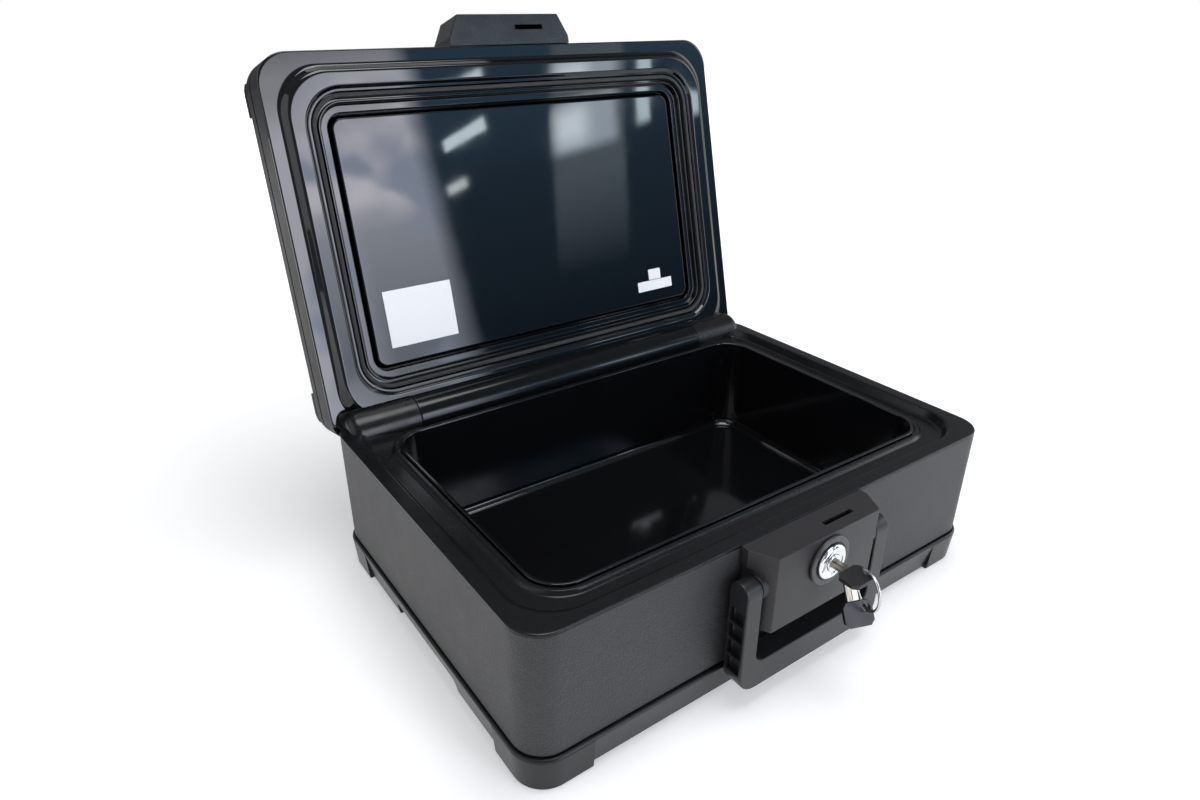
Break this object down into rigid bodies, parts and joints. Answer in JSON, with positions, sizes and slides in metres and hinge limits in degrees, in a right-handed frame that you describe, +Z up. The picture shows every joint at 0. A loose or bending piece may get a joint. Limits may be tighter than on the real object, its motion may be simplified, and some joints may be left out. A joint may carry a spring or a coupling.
{
  "type": "fireproof chest",
  "caption": "Rectangular insulated fireproof chest with an open hinged lid, key lock with a hook cam, keys on a ring, fold-down bail handle and a moulded tub.",
  "frame": {"origin": "centre of the tray's flat underside; the corner feet reach 4 mm below it", "axes": "+Z up, -Y towards the lock and handle, +X to the right as seen from the front"},
  "size_m": [0.4334, 0.4748, 0.419],
  "materials": {
    "wall_plastic": "fine grained matte",
    "satin_plastic": "satin",
    "gloss_plastic": "glossy",
    "housing_plastic": "matte",
    "key_plastic": "matte",
    "insulation": "rough, out of sight",
    "rubber": "matte",
    "chrome": "polished",
    "steel": "plain bright",
    "nickel": "satin nickel",
    "label": "blank white label"
  },
  "bodies": {
    "base": {"base_shell": "wall_plastic", "base_insulation": "insulation", "base_rim": "satin_plastic", "base_liner": "gloss_plastic", "base_tray": "satin_plastic", "lock_housing": "housing_plastic", "lock_bezel": "housing_plastic", "lock_body": "chrome", "lock_nut": "steel", "handle_pin_left": "steel", "handle_pin_right": "steel", "hinge_pin_left": "steel", "hinge_pin_right": "steel", "tray_screw_1": "steel", "tray_screw_2": "steel", "tray_screw_3": "steel", "tray_screw_4": "steel", "housing_screw_1": "steel", "housing_screw_2": "steel", "housing_screw_3": "steel", "housing_screw_4": "steel"},
    "lid": {"lid_shell": "wall_plastic", "lid_liner": "gloss_plastic", "lid_insulation": "insulation", "lid_gasket": "rubber", "hinge_barrel": "satin_plastic", "lid_tab": "housing_plastic", "strike_plate": "steel", "label_large": "label", "label_square": "label", "label_strip": "label", "hinge_screw_1": "steel", "hinge_screw_2": "steel", "hinge_screw_3": "steel", "hinge_screw_4": "steel", "strike_screw_1": "steel", "strike_screw_2": "steel", "tab_screw_1": "steel", "tab_screw_2": "steel", "tab_screw_3": "steel", "tab_screw_4": "steel"},
    "handle": {"handle": "housing_plastic"},
    "lock": {"lock_plug": "chrome", "hook_cam": "steel", "cam_screw": "steel"},
    "key": {"key_blade": "nickel", "key_bow": "key_plastic"},
    "ring": {"key_ring": "steel"},
    "spare_key": {"spare_key_blade": "nickel", "spare_key_bow": "key_plastic"}
  },
  "joints": [
    {"name": "lid_hinge", "type": "hinge", "parent": "base", "child": "lid", "pos_m": [0, 0.14, 0.1104], "axis": [1, 0, 0], "range_deg": [0, 103.6]},
    {"name": "handle_swing", "type": "hinge", "parent": "base", "child": "handle", "pos_m": [0, -0.163, 0.0905], "axis": [-1, 0, 0], "range_deg": [0, 115]},
    {"name": "lock_turn", "type": "hinge", "parent": "base", "child": "lock", "pos_m": [0, -0.17, 0.0955], "axis": [0, 1, 0], "range_deg": [-90, 0]},
    {"name": "key_slide", "type": "slide", "parent": "lock", "child": "key", "axis": [0, -1, 0], "range_m": [0, 0.026]},
    {"name": "ring_swing", "type": "hinge", "parent": "key", "child": "ring", "pos_m": [0.006, -0.2036, 0.0955], "axis": [-0.9397, 0.342, 0], "range_deg": [0, 15]},
    {"name": "spare_key_swing", "type": "hinge", "parent": "ring", "child": "spare_key", "pos_m": [0.006, -0.2036, 0.0729], "axis": [-0.342, -0.9397, 0], "range_deg": [0, 25]}
  ]
}
